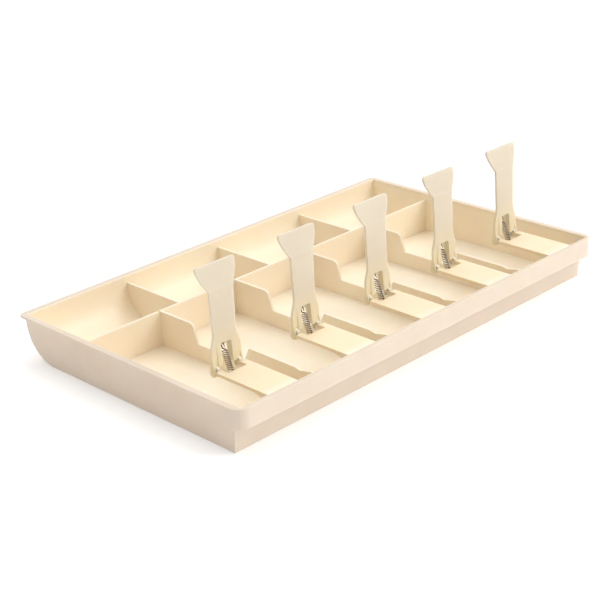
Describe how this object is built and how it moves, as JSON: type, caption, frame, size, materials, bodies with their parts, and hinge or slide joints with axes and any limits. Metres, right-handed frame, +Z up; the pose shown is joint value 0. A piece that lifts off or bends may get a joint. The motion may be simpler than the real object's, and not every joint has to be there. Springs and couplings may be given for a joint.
{
  "type": "cash tray insert",
  "caption": "Shallow plastic money tray that drops into a till drawer: note bays along the front, each with a sprung hinged clip, and scooped coin cups along the back.",
  "frame": {"origin": "middle of the flat base, on the surface the tray stands on", "axes": "+X along the row of bays from left to right seen from the front, +Y from the note bays to the coin cups, +Z up"},
  "size_m": [0.405, 0.25, 0.1137],
  "materials": {
    "tray_plastic": "fine satin, ivory moulded plastic",
    "clip_plastic": "satin, slightly translucent ivory plastic",
    "spring_steel": "drawn wire",
    "pin_steel": "ground"
  },
  "bodies": {
    "tray": {"tray_shell": "tray_plastic", "spring_anchor_1": "pin_steel", "spring_anchor_2": "pin_steel", "spring_anchor_3": "pin_steel", "spring_anchor_4": "pin_steel", "spring_anchor_5": "pin_steel"},
    "clip_1": {"note_clip_1": "clip_plastic"},
    "spring_1": {"clip_spring_1": "spring_steel"},
    "clip_2": {"note_clip_2": "clip_plastic"},
    "spring_2": {"clip_spring_2": "spring_steel"},
    "clip_3": {"note_clip_3": "clip_plastic"},
    "spring_3": {"clip_spring_3": "spring_steel"},
    "clip_4": {"note_clip_4": "clip_plastic"},
    "spring_4": {"clip_spring_4": "spring_steel"},
    "clip_5": {"note_clip_5": "clip_plastic"},
    "spring_5": {"clip_spring_5": "spring_steel"}
  },
  "joints": [
    {"name": "clip_1_hinge", "type": "hinge", "parent": "tray", "child": "clip_1", "pos_m": [-0.15788, -0.065, 0.0345], "axis": [1, 0, 0], "range_deg": [-105, 0], "deforming": ["clip_spring_1"]},
    {"name": "spring_1_swing", "type": "hinge", "parent": "tray", "child": "spring_1", "pos_m": [-0.15788, -0.07, 0.0301], "axis": [1, 0, 0], "range_deg": [-80, 0]},
    {"name": "clip_2_hinge", "type": "hinge", "parent": "tray", "child": "clip_2", "pos_m": [-0.07844, -0.065, 0.0345], "axis": [1, 0, 0], "range_deg": [-105, 0], "deforming": ["clip_spring_2"]},
    {"name": "spring_2_swing", "type": "hinge", "parent": "tray", "child": "spring_2", "pos_m": [-0.07844, -0.07, 0.0301], "axis": [1, 0, 0], "range_deg": [-80, 0]},
    {"name": "clip_3_hinge", "type": "hinge", "parent": "tray", "child": "clip_3", "pos_m": [0.001, -0.065, 0.0345], "axis": [1, 0, 0], "range_deg": [-105, 0], "deforming": ["clip_spring_3"]},
    {"name": "spring_3_swing", "type": "hinge", "parent": "tray", "child": "spring_3", "pos_m": [0.001, -0.07, 0.0301], "axis": [1, 0, 0], "range_deg": [-80, 0]},
    {"name": "clip_4_hinge", "type": "hinge", "parent": "tray", "child": "clip_4", "pos_m": [0.08044, -0.065, 0.0345], "axis": [1, 0, 0], "range_deg": [-105, 0], "deforming": ["clip_spring_4"]},
    {"name": "spring_4_swing", "type": "hinge", "parent": "tray", "child": "spring_4", "pos_m": [0.08044, -0.07, 0.0301], "axis": [1, 0, 0], "range_deg": [-80, 0]},
    {"name": "clip_5_hinge", "type": "hinge", "parent": "tray", "child": "clip_5", "pos_m": [0.15988, -0.065, 0.0345], "axis": [1, 0, 0], "range_deg": [-105, 0], "deforming": ["clip_spring_5"]},
    {"name": "spring_5_swing", "type": "hinge", "parent": "tray", "child": "spring_5", "pos_m": [0.15988, -0.07, 0.0301], "axis": [1, 0, 0], "range_deg": [-80, 0]}
  ],
  "couplings": [
    {"joint": "spring_1_swing", "follows": "clip_1_hinge", "ratio": 0.7421},
    {"joint": "spring_2_swing", "follows": "clip_2_hinge", "ratio": 0.7421},
    {"joint": "spring_3_swing", "follows": "clip_3_hinge", "ratio": 0.7421},
    {"joint": "spring_4_swing", "follows": "clip_4_hinge", "ratio": 0.7421},
    {"joint": "spring_5_swing", "follows": "clip_5_hinge", "ratio": 0.7421}
  ]
}
